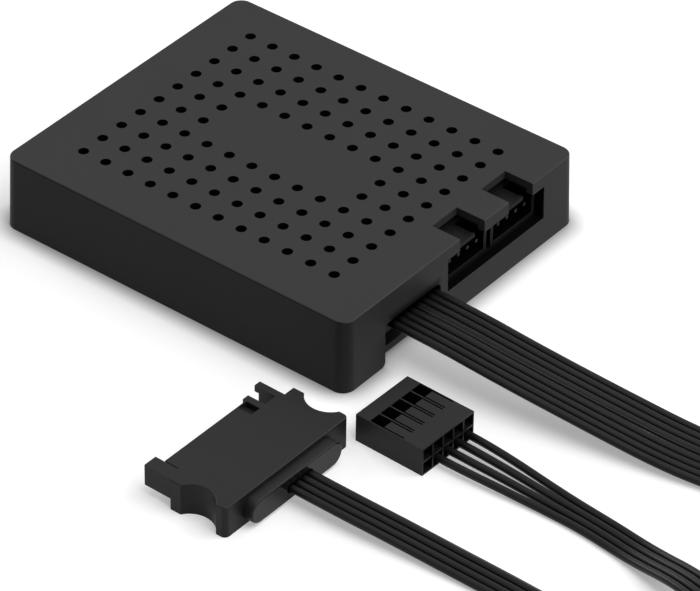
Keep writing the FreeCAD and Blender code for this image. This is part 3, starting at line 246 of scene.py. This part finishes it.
def buildLead(name, lead, form):
    # rings of the lobed profile along the route, and where the wires fan out a round tube for each,
    # whose pitch p grows from p0 to p1 as p0 + (p1 - p0) smoothStep(share of the fan's length)
    line = splineLine(name + "Line", leadRoute(lead, form), form)
    ending = line[-1] - line[-2]
    inside = line[-1:] + ending[None] / np.linalg.norm(ending) * lead["inside"]
    line = np.concatenate([line, inside])
    across, rise = levelFrames(line)
    measured = np.r_[0, np.cumsum(np.linalg.norm(np.diff(line, axis=0), axis=1))]
    fan = lead["fan"]
    flat = measured <= measured[-1] - (fan["reach"] - fan["join"] if fan else 0)
    profile = lobedProfile(form, lead["ridge"])
    rings = ringsAlong(line[flat], across[flat], rise[flat], profile)
    points, faces = [rings.reshape(-1, 3)], closedTube(rings, 0)
    if fan:
        loose = measured >= measured[-1] - fan["reach"]
        apart = (measured[loose] - measured[-1] + fan["reach"]) / (fan["reach"] - lead["inside"])
        spread = (fan["pitch"] - form["wirePitch"]) * smoothStep(np.clip(apart, 0, 1))
        turns = np.linspace(0, 2 * np.pi, 2 * form["lobeSteps"] - 2, endpoint=False)
        circle = form["wireRadius"] * np.stack([np.cos(turns), np.sin(turns)], axis=1)
        for wire in range(form["wires"]):
            middle = line[loose] + across[loose] * wireOffset(wire, form["wirePitch"] + spread)[:, None]
            tube = ringsAlong(middle, across[loose], rise[loose], circle)
            faces += closedTube(tube, sum(len(part) for part in points))
            points.append(tube.reshape(-1, 3))
    piece = addPiece(name, np.concatenate(points), faces)
    markRidge(piece, profile, len(rings), form)
    return piece, line


# Strap round both coiled leads, where they lie side by side on the coil's far side
strapForm = {
    "centre": (leadForm["coilCentre"][0] + (powerLead["radius"] + dataLead["radius"]) / 2,
               leadForm["coilCentre"][1], 0.00285),
    "halfWide": 0.00687, "halfHigh": 0.0026, "power": 8, "width": 0.0060, "thickness": 0.0005,
    "steps": 132, "start": 1.0, "overlap": 0.55, "liftBefore": 0.35, "liftOver": 0.3,
    # section: a flat bar with two shallow grooves outside, in shares of half its width and thickness
    "across": (-1, -0.94, -0.80, -0.74, -0.2, -0.14, 0.14, 0.2, 0.74, 0.80, 0.94, 1, 1, 0.94, -0.94, -1),
    "out": (0.5, 1, 1, 0.6, 0.6, 1, 1, 0.6, 0.6, 1, 1, 0.5, -0.5, -1, -1, -0.5),
}


def buildStrap(form):
    # a superellipse |x/a|^n + |z/b|^n = 1 round the wires, its end lapped over its start by one thickness
    turn = form["start"] + np.linspace(0, 2 * np.pi + form["overlap"], form["steps"])
    lift = np.clip((turn - form["start"] - 2 * np.pi + form["liftBefore"]) / form["liftOver"], 0, 1)
    cosine, sine = np.cos(turn), np.sin(turn)
    scale = (np.abs(cosine) ** form["power"] + np.abs(sine) ** form["power"]) ** (-1 / form["power"])
    middle = np.stack([form["halfWide"] * cosine * scale, 0 * turn,
                       form["halfHigh"] * sine * scale], axis=1)
    way = np.gradient(middle, axis=0)
    way /= np.linalg.norm(way, axis=1)[:, None]
    out = np.stack([way[:, 2], 0 * turn, -way[:, 0]], axis=1)
    middle = middle + out * (smoothStep(lift) * form["thickness"])[:, None] + np.array(form["centre"])
    section = np.stack([np.array(form["across"]) * form["width"] / 2,
                        np.array(form["out"]) * form["thickness"] / 2], axis=1)
    rings = ringsAlong(middle, np.tile([0, 1, 0], (len(middle), 1)), out, section)
    return addPiece("coilStrap", rings.reshape(-1, 3), closedTube(rings, 0))


powerWires, powerLine = buildLead("powerLead", powerLead, leadForm)
dataWires, dataLine = buildLead("dataLead", dataLead, leadForm)
coilStrap = buildStrap(strapForm)
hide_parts("power_lead_hub_run", "power_lead_plug_run", "lead_coil")
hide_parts("data_lead_hub_run", "data_lead_plug_run")
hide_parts("coil_tie")
print("leads built, about", round(powerLead["length"], 3), "and", round(dataLead["length"], 3), "m")


# Materials. Sizes are in metres, colours are linear.
def newMaterial(name):
    material = bpy.data.materials.new(name)
    material.use_nodes = True
    tree = material.node_tree
    shader = tree.nodes["Principled BSDF"]
    place = tree.nodes.new("ShaderNodeTexCoord").outputs["Object"]
    return material, tree, shader, place


def mathOf(tree, operation, *values):
    node = tree.nodes.new("ShaderNodeMath")
    node.operation = operation
    for socket, value in zip(node.inputs, values):
        if isinstance(value, float):
            socket.default_value = value
        else:
            tree.links.new(value, socket)
    return node.outputs["Value"]


def mixedColour(tree, factor, low, high):
    # low at 0 and high at 1, each a colour or a socket that gives one
    mix = tree.nodes.new("ShaderNodeMix")
    mix.data_type = "RGBA"
    tree.links.new(factor, mix.inputs["Factor"])
    for name, colour in (("A", low), ("B", high)):
        if isinstance(colour, tuple):
            mix.inputs[name].default_value = (*colour, 1)
        else:
            tree.links.new(colour, mix.inputs[name])
    return mix.outputs["Result"]


def noiseOf(tree, place, size, detail, rough=0.5):
    noise = tree.nodes.new("ShaderNodeTexNoise")
    noise.inputs["Scale"].default_value = 1 / size
    noise.inputs["Detail"].default_value = detail
    noise.inputs["Roughness"].default_value = rough
    tree.links.new(place, noise.inputs["Vector"])
    return noise.outputs["Fac"]


def scaled(tree, value, low, high):
    spread = tree.nodes.new("ShaderNodeMapRange")
    tree.links.new(value, spread.inputs["Value"])
    spread.inputs["To Min"].default_value = low
    spread.inputs["To Max"].default_value = high
    return spread.outputs["Result"]


def bumped(tree, shader, height, depth, before=None):
    bump = tree.nodes.new("ShaderNodeBump")
    bump.inputs["Distance"].default_value = depth
    tree.links.new(height, bump.inputs["Height"])
    if before:
        tree.links.new(before, bump.inputs["Normal"])
    tree.links.new(bump.outputs["Normal"], shader.inputs["Normal"])
    return bump.outputs["Normal"]


# how far a box with a hard edge fades out
hardEdge = 0.000005


def box(middle, half, turn=0, reach=hardEdge):
    # place and half sizes, turn about Z in degrees, and how far it fades out
    return middle, half, turn, reach


def insideBoxes(tree, place, boxes):
    # 1 where the point lies in any of the boxes, falling to 0 at their reach outside:
    # 1 - max(|x| - a, |y| - b, |z| - c) / reach, kept between 0 and 1
    found = None
    for middle, half, turn, reach in boxes:
        local = tree.nodes.new("ShaderNodeMapping")
        local.vector_type = "TEXTURE"
        local.inputs["Location"].default_value = middle
        local.inputs["Rotation"].default_value = (0, 0, math.radians(turn))
        tree.links.new(place, local.inputs["Vector"])
        size = tree.nodes.new("ShaderNodeVectorMath")
        size.operation = "ABSOLUTE"
        tree.links.new(local.outputs["Vector"], size.inputs[0])
        beyond = tree.nodes.new("ShaderNodeVectorMath")
        beyond.operation = "SUBTRACT"
        tree.links.new(size.outputs["Vector"], beyond.inputs[0])
        beyond.inputs[1].default_value = half
        parts = tree.nodes.new("ShaderNodeSeparateXYZ")
        tree.links.new(beyond.outputs["Vector"], parts.inputs["Vector"])
        wide = mathOf(tree, "MAXIMUM", parts.outputs["X"], parts.outputs["Y"])
        far = mathOf(tree, "DIVIDE", mathOf(tree, "MAXIMUM", wide, parts.outputs["Z"]), reach)
        here = scaled(tree, far, 1.0, 0.0)
        found = here if found is None else mathOf(tree, "MAXIMUM", found, here)
    return found


def paintShading(tree, place, look, colour):
    # painted light: boxes with a colour of their own, painted shade in hollows and on rims in shade, a
    # painted highlight on rims made paler
    for paintedColour, boxes in look.get("paintedShading", []):
        colour = mixedColour(tree, insideBoxes(tree, place, boxes), colour, paintedColour)
    return colour


def paintRidgeHighlight(tree, look, colour):
    # painted highlight: the raised ridge of a lead, marked by its own attribute, is painted a little paler,
    # most at its crest
    if "ridgeHighlight" not in look:
        return colour
    mark = tree.nodes.new("ShaderNodeAttribute")
    mark.attribute_name = "ridgeHighlight"
    return mixedColour(tree, mark.outputs["Fac"], colour, look["ridgeHighlight"])


def glinting(tree, place, look, roughness):
    # rounded edges rubbed smoother than the grain
    if "edges" not in look:
        return roughness
    rubbed = insideBoxes(tree, place, look["edges"])
    left = mathOf(tree, "SUBTRACT", 1.0, mathOf(tree, "MULTIPLY", rubbed, 1 - look["edgeGloss"]))
    return mathOf(tree, "MULTIPLY", roughness, left)


# noises of the moulded grain: the coarse one's size and depth are multiples of the fine one's
grainForm = {"coarseSize": 3, "coarseDepth": 1.5, "coarseDetail": 2, "fineDetail": 4, "fineRough": 0.6,
             "cloudDetail": 3}


def mouldedPlastic(name, look):
    # spark-eroded grain: a coarse and a fine noise raise the surface, a wide one shifts colour and gloss;
    # boxes of painted shade and highlight, and a painted highlight on a lead's ridge, come on top of the
    # colour
    material, tree, shader, place = newMaterial(name)
    cloud = noiseOf(tree, place, look["cloudSize"], grainForm["cloudDetail"])
    colour = paintRidgeHighlight(tree, look, mixedColour(tree, cloud, look["dark"], look["light"]))
    tree.links.new(paintShading(tree, place, look, colour), shader.inputs["Base Color"])
    rough = glinting(tree, place, look, scaled(tree, cloud, *look["roughness"]))
    tree.links.new(rough, shader.inputs["Roughness"])
    coarse = noiseOf(tree, place, look["grain"] * grainForm["coarseSize"], grainForm["coarseDetail"])
    fine = noiseOf(tree, place, look["grain"], grainForm["fineDetail"], grainForm["fineRough"])
    raised = bumped(tree, shader, coarse, look["depth"] * grainForm["coarseDepth"])
    bumped(tree, shader, fine, look["depth"], raised)
    shader.inputs["IOR"].default_value = look["ior"]
    shader.inputs["Specular IOR Level"].default_value = look["specular"]
    if "paintedShading" in look:
        # the first boxes are the hollows of painted shade, where the specular level falls to 0 too, so
        # nothing is mirrored
        hollow = insideBoxes(tree, place, look["paintedShading"][0][1])
        mirrored = scaled(tree, hollow, look["specular"], 0.0)
        tree.links.new(mirrored, shader.inputs["Specular IOR Level"])
    return material


coverLook = {
    "dark": (0.030, 0.030, 0.031), "light": (0.036, 0.036, 0.037), "cloudSize": 0.02,
    "roughness": (0.50, 0.58), "grain": 0.00022, "depth": 0.000012, "ior": 1.45, "specular": 0.11,
    # the rounded rim of the top on its four sides
    "edgeGloss": 0.5,
    "edges": [box((side * 0.0383, 0, 0.01476), (0.0004, 0.0330, 0.000132)) for side in (1, -1)]
             + [box((0, side * 0.03235, 0.01476), (0.0388, 0.0004, 0.000132)) for side in (1, -1)],
    "paintedShading": [
        # painted shade inside the shell, on the vents' walls, in the light window and on its sill, in the
        # lead slot and on the face over it
        ((0.003, 0.003, 0.003), [
            box((0, 0, 0.0065), (0.03715, 0.0312, 0.00685)),
            box((0, 0, 0.0141), (0.0315, 0.0270, 0.00077)),
            box((0.0370, 0.0096, 0.0090), (0.00145, 0.0140, 0.00345)),
            box((0.0370, 0.0096, 0.00563), (0.00169, 0.0140, 0.00004)),
            box((0.0370, -0.01405, 0.0040), (0.00140, 0.0079, 0.0048)),
            box((0.0385, -0.0136, 0.00855), (0.0004, 0.0058, 0.0002), 0, 0.0018)]),
        # the top's rim: a painted highlight along it at +X and painted shade along it at -Y
        ((0.046, 0.046, 0.047), [box((0.0383, 0, 0.01477), (0.0004, 0.0330, 0.00012))]),
        ((0.012, 0.012, 0.012), [box((0, -0.0326, 0.01465), (0.0390, 0.0004, 0.00016))])],
}
baseLook = {
    "dark": (0.040, 0.040, 0.041), "light": (0.050, 0.050, 0.051), "cloudSize": 0.012,
    "roughness": (0.55, 0.65), "grain": 0.0003, "depth": 0.00002, "ior": 1.45, "specular": 0.25,
}
plugLook = {
    "dark": (0.008, 0.008, 0.0085), "light": (0.011, 0.011, 0.0115), "cloudSize": 0.008,
    "roughness": (0.42, 0.52), "grain": 0.00025, "depth": 0.00001, "ior": 1.45, "specular": 0.22,
    # the rounded rear edge of the power plug's flange and of its cap
    "edgeGloss": 0.28,
    "edges": [box((0.0470, -0.0585, 0.00616), (0.0004, 0.0165, 0.000132), -0.7),
              box((0.0492, -0.0585, 0.0030), (0.00016, 0.0119, 0.0026), -0.7)],
    # painted shade inside the data plug and in the four wire holes of the power plug's cap
    "paintedShading": [
        ((0.008, 0.008, 0.008), [
            box((0.05483, -0.03423, 0.002825), (0.00722, 0.00677, 0.00279), -1.5),
            box((0.04840, -0.05782, 0.0030), (0.00060, 0.0035, 0.00102), -0.7)])],
}
socketLook = {
    "dark": (0.012, 0.012, 0.0125), "light": (0.015, 0.015, 0.0155), "cloudSize": 0.004,
    "roughness": (0.45, 0.55), "grain": 0.0002, "depth": 0.000008, "ior": 1.45, "specular": 0.08,
    # painted shade inside both light sockets under their roofs and on their lower rims
    "paintedShading": [
        ((0.0015, 0.0015, 0.0015), [box((0.0310, 0.00959, 0.0080), (0.0058, 0.0134, 0.00285))]),
        ((0.006, 0.006, 0.006), [box((0.0370, 0.00959, 0.0050), (0.0015, 0.0140, 0.0011), 0, 0.0004)])],
}
chipLook = {
    "dark": (0.014, 0.014, 0.015), "light": (0.022, 0.022, 0.022), "cloudSize": 0.001,
    "roughness": (0.55, 0.7), "grain": 0.00012, "depth": 0.00001, "ior": 1.5, "specular": 0.2,
}
ferriteLook = {
    "dark": (0.045, 0.043, 0.042), "light": (0.075, 0.070, 0.066), "cloudSize": 0.0008,
    "roughness": (0.6, 0.75), "grain": 0.00018, "depth": 0.00002, "ior": 1.5, "specular": 0.3,
}
strapLook = {
    "dark": (0.012, 0.012, 0.013), "light": (0.018, 0.018, 0.019), "cloudSize": 0.003,
    "roughness": (0.38, 0.48), "grain": 0.0002, "depth": 0.00001, "ior": 1.46, "specular": 0.25,
}
jacketLook = {
    "dark": (0.005, 0.005, 0.0052), "light": (0.008, 0.008, 0.0082), "cloudSize": 0.006,
    "roughness": (0.28, 0.34), "grain": 0.0002, "depth": 0.000006, "ior": 1.45, "specular": 0.2,
    # a painted highlight along the power lead's ridge
    "ridgeHighlight": (0.033, 0.033, 0.034),
    # painted shade where the leads lie in the lead slot and in the power plug's wire holes
    "paintedShading": [
        ((0.0004, 0.0004, 0.0004), [
            box((0.0363, -0.0140, 0.0080), (0.0026, 0.0080, 0.0020), 0, 0.0012),
            box((0.0485, -0.05782, 0.0030), (0.0006, 0.0035, 0.0012), -0.7, 0.0007)])],
}


# detail of the metals' two noises
metalForm = {"lineDetail": 3, "tarnishDetail": 2}


def brushedMetal(name, look):
    # plated metal: fine noise stretched along one axis, plus a slow tarnish that shifts its colour, and
    # boxes of painted shade where a look has them
    material, tree, shader, place = newMaterial(name)
    stretch = tree.nodes.new("ShaderNodeMapping")
    stretch.inputs["Scale"].default_value = look["stretch"]
    tree.links.new(place, stretch.inputs["Vector"])
    lines = noiseOf(tree, stretch.outputs["Vector"], look["grain"], metalForm["lineDetail"])
    tarnish = noiseOf(tree, place, look["tarnishSize"], metalForm["tarnishDetail"])
    colour = paintShading(tree, place, look, mixedColour(tree, tarnish, look["dark"], look["light"]))
    tree.links.new(colour, shader.inputs["Base Color"])
    tree.links.new(scaled(tree, lines, *look["roughness"]), shader.inputs["Roughness"])
    bumped(tree, shader, lines, look["depth"])
    shader.inputs["Metallic"].default_value = 1
    return material


pinLook = {
    "dark": (0.30, 0.29, 0.27), "light": (0.45, 0.44, 0.41), "tarnishSize": 0.0012,
    "stretch": (0.2, 1, 1), "grain": 0.00012, "roughness": (0.28, 0.42), "depth": 0.000004,
    # painted shade on the light pins where they run inside the sockets' cavity, which darkens their ends
    "paintedShading": [((0.014, 0.014, 0.0135), [box((0.0330, 0.00959, 0.0095), (0.0040, 0.0140, 0.0006))])],
}
contactLook = {
    "dark": (0.55, 0.38, 0.14), "light": (0.74, 0.55, 0.24), "tarnishSize": 0.002,
    "stretch": (0.2, 1, 1), "grain": 0.0002, "roughness": (0.25, 0.38), "depth": 0.000004,
}
screwLook = {
    "dark": (0.05, 0.05, 0.055), "light": (0.11, 0.11, 0.115), "tarnishSize": 0.0015,
    "stretch": (1, 1, 0.3), "grain": 0.0002, "roughness": (0.32, 0.5), "depth": 0.000008,
}
canLook = {
    "dark": (0.52, 0.53, 0.54), "light": (0.68, 0.69, 0.70), "tarnishSize": 0.003,
    "stretch": (1, 1, 0.15), "grain": 0.00025, "roughness": (0.25, 0.4), "depth": 0.000006,
}
crystalLook = {
    "dark": (0.46, 0.46, 0.45), "light": (0.60, 0.60, 0.58), "tarnishSize": 0.003,
    "stretch": (0.15, 1, 1), "grain": 0.0002, "roughness": (0.2, 0.34), "depth": 0.000004,
}

# low and high are the heights of the board's faces, and its bare edge starts just inside them
laminateLook = {
    "mask": (0.003, 0.0035, 0.0035), "trace": (0.006, 0.007, 0.007), "edge": (0.010, 0.009, 0.006),
    "traceSize": 0.0024, "traceDepth": 0.00003, "traceGap": 0.06, "traceLength": 1.9,
    "traceShift": 0.37, "traceTurn": 45, "low": 0.0044, "high": 0.0060, "edgeInset": 0.00004,
    "roughness": 0.45, "specular": 0.12,
}


def boardLaminate(look):
    # solder mask over raised traces on both faces, bare laminate at the cut edge
    material, tree, shader, place = newMaterial("boardLaminate")
    bricks = tree.nodes.new("ShaderNodeTexBrick")
    bricks.inputs["Scale"].default_value = 1 / look["traceSize"]
    bricks.inputs["Mortar Size"].default_value = look["traceGap"]
    bricks.inputs["Brick Width"].default_value = look["traceLength"]
    bricks.offset = look["traceShift"]
    turned = tree.nodes.new("ShaderNodeMapping")
    turned.inputs["Rotation"].default_value = (0, 0, math.radians(look["traceTurn"]))
    tree.links.new(place, turned.inputs["Vector"])
    tree.links.new(turned.outputs["Vector"], bricks.inputs["Vector"])
    faces = mixedColour(tree, bricks.outputs["Fac"], look["mask"], look["trace"])
    parts = tree.nodes.new("ShaderNodeSeparateXYZ")
    tree.links.new(place, parts.inputs["Vector"])
    middle, half = (look["low"] + look["high"]) / 2, (look["high"] - look["low"]) / 2
    cut = mathOf(tree, "COMPARE", parts.outputs["Z"], middle, half - look["edgeInset"])
    tree.links.new(mixedColour(tree, cut, faces, look["edge"]), shader.inputs["Base Color"])
    shader.inputs["Roughness"].default_value = look["roughness"]
    shader.inputs["Specular IOR Level"].default_value = look["specular"]
    bumped(tree, shader, bricks.outputs["Fac"], look["traceDepth"])
    return material


finishes = {
    "cover_plastic": mouldedPlastic("coverPlastic", coverLook),
    "base_plastic": mouldedPlastic("basePlastic", baseLook),
    "plug_plastic": mouldedPlastic("plugPlastic", plugLook),
    "socket_plastic": mouldedPlastic("socketPlastic", socketLook),
    "chip_plastic": mouldedPlastic("chipPlastic", chipLook),
    "ferrite": mouldedPlastic("ferrite", ferriteLook),
    "tie_plastic": mouldedPlastic("strapPlastic", strapLook),
    "lead_jacket": mouldedPlastic("leadJacket", jacketLook),
    "board_laminate": boardLaminate(laminateLook),
    "pin_metal": brushedMetal("tinnedPins", pinLook),
    "contact_metal": brushedMetal("contactMetal", contactLook),
    "screw_metal": brushedMetal("blackScrews", screwLook),
    "can_metal": brushedMetal("canMetal", canLook),
    "crystal_metal": brushedMetal("crystalMetal", crystalLook),
}
print("materials made:", len(finishes))


# Which finish each CAD node that stays visible takes
nodeFinish = {
    "hub_cover": "cover_plastic", "base_plate": "base_plastic", "lead_clamp": "base_plastic",
    "circuit_board": "board_laminate",
    "light_socket_1": "socket_plastic", "light_socket_2": "socket_plastic",
    "fan_header_1": "socket_plastic", "fan_header_2": "socket_plastic", "fan_header_3": "socket_plastic",
    "light_pins": "pin_metal", "fan_pins": "pin_metal", "controller_chip_legs": "pin_metal",
    "controller_chip": "chip_plastic", "driver_chips": "chip_plastic",
    "power_inductors": "ferrite", "chip_capacitors": "ferrite",
    "electrolytic_capacitors": "can_metal", "crystal": "crystal_metal",
    "cover_screws": "screw_metal", "board_screws": "screw_metal",
    "power_plug_housing": "plug_plastic", "power_plug_rear_cap": "plug_plastic",
    "data_plug_housing": "plug_plastic",
    "power_plug_contacts": "contact_metal", "data_plug_terminals": "contact_metal",
}


def finishPiece(piece, slot):
    piece.data.materials.clear()
    piece.data.materials.append(finishes[slot])


for nodeName, slotName in nodeFinish.items():
    finishPiece(nodes[nodeName], slotName)
finishPiece(powerWires, "lead_jacket")
finishPiece(dataWires, "lead_jacket")
finishPiece(coilStrap, "tie_plastic")
print("finishes put on", len(nodeFinish), "nodes")


# Floor, lights and world; the lamps all point at the hub's middle
studio = {
    "floorHalf": 1.6, "floorSteps": 8, "floorRoughness": 0.9,
    "floorColour": (0.80, 0.80, 0.80), "floorShade": (0.0, 0.0, 0.0), "floorBounce": (0.10, 0.10, 0.10),
    "floorGlow": 0.36, "glowReach": 0.35, "worldLight": 0.117,
    "shadeReach": 0.0041, "shadePower": 1.6, "shadeBox": box((0, 0, 0), (0.0425, 0.0365, 0.01), 0, 0.006),
    "keyPlace": (0.54, 0.75, 0.77), "keySize": 0.90, "keyPower": 4.7,
    "topPlace": (0.0, 0.0, 1.1), "topSize": 0.8, "topPower": 1.95,
    "rightPlace": (0.60, 0.0, 0.95), "rightSize": 0.9, "rightPower": 6.9,
    "leftPlace": (-1.00, 0.10, 0.60), "leftSize": 0.6, "leftPower": 3.9,
}


def seenRays(tree):
    # 1 for camera, glossy and transmission rays, 0 for the light that falls on the object
    rays = tree.nodes.new("ShaderNodeLightPath")
    first = mathOf(tree, "MAXIMUM", rays.outputs["Is Camera Ray"], rays.outputs["Is Glossy Ray"])
    return mathOf(tree, "MAXIMUM", first, rays.outputs["Is Transmission Ray"])


def floorPaper(look):
    material, tree, shader, place = newMaterial("floorPaper")
    seen = seenRays(tree)
    # a painted shadow, seen only by the camera: it darkens close to the hub by ambient occlusion to a power,
    # in a box about the hub
    near = tree.nodes.new("ShaderNodeAmbientOcclusion")
    near.inputs["Distance"].default_value = look["shadeReach"]
    lit = mathOf(tree, "POWER", near.outputs["AO"], look["shadePower"])
    about = insideBoxes(tree, place, [look["shadeBox"]])
    paintedShadow = mathOf(tree, "MULTIPLY", mathOf(tree, "SUBTRACT", 1.0, lit), about)
    straight = tree.nodes.new("ShaderNodeLightPath").outputs["Is Camera Ray"]
    clear = mathOf(tree, "SUBTRACT", 1.0, mathOf(tree, "MULTIPLY", paintedShadow, straight))
    paper = mixedColour(tree, clear, look["floorShade"], look["floorColour"])
    tree.links.new(mixedColour(tree, seen, look["floorBounce"], paper), shader.inputs["Base Color"])
    shader.inputs["Roughness"].default_value = look["floorRoughness"]
    shader.inputs["Specular IOR Level"].default_value = 0.0
    shader.inputs["Emission Color"].default_value = (1, 1, 1, 1)
    # its glow makes up for the lamps' falling light far from the object
    span = tree.nodes.new("ShaderNodeVectorMath")
    span.operation = "LENGTH"
    tree.links.new(place, span.inputs[0])
    beyond = mathOf(tree, "SUBTRACT", span.outputs["Value"], look["glowReach"])
    glow = mathOf(tree, "MULTIPLY", seen, scaled(tree, beyond, look["floorGlow"], 1.0))
    tree.links.new(mathOf(tree, "MULTIPLY", glow, clear), shader.inputs["Emission Strength"])
    return material


def buildFloor(look):
    # a flat grid of squares
    steps = look["floorSteps"]
    line = np.linspace(-look["floorHalf"], look["floorHalf"], steps + 1)
    points = np.stack([*np.meshgrid(line, line, indexing="ij"), np.zeros((steps + 1, steps + 1))], axis=-1)
    row, column = np.meshgrid(np.arange(steps), np.arange(steps), indexing="ij")
    corner = (row * (steps + 1) + column).reshape(-1)
    quads = np.stack([corner, corner + steps + 1, corner + steps + 2, corner + 1], axis=1)
    mesh = bpy.data.meshes.new("floor")
    mesh.from_pydata(points.reshape(-1, 3).tolist(), [], quads.tolist())
    mesh.materials.append(floorPaper(look))
    floor = bpy.data.objects.new("floor", mesh)
    scene.collection.objects.link(floor)


def buildWorld(look):
    # white where it is seen, and a plain level of light on the object
    world = bpy.data.worlds.new("studioWorld")
    scene.world = world
    world.use_nodes = True
    tree = world.node_tree
    background = tree.nodes["Background"]
    background.inputs["Color"].default_value = (1, 1, 1, 1)
    strength = scaled(tree, seenRays(tree), look["worldLight"], 1.0)
    tree.links.new(strength, background.inputs["Strength"])


def buildLamps(look):
    for name in ("key", "top", "right", "left"):
        data = bpy.data.lights.new(name + "Light", "AREA")
        data.shape, data.size, data.energy = "SQUARE", look[name + "Size"], look[name + "Power"]
        lamp = bpy.data.objects.new(name + "Light", data)
        place = Vector(look[name + "Place"])
        lamp.location = place
        lamp.rotation_mode = "QUATERNION"
        lamp.rotation_quaternion = (-place).to_track_quat("-Z", "Y")
        scene.collection.objects.link(lamp)


buildFloor(studio)
buildWorld(studio)
buildLamps(studio)
scene.view_settings.view_transform = "Standard"
print("studio set")
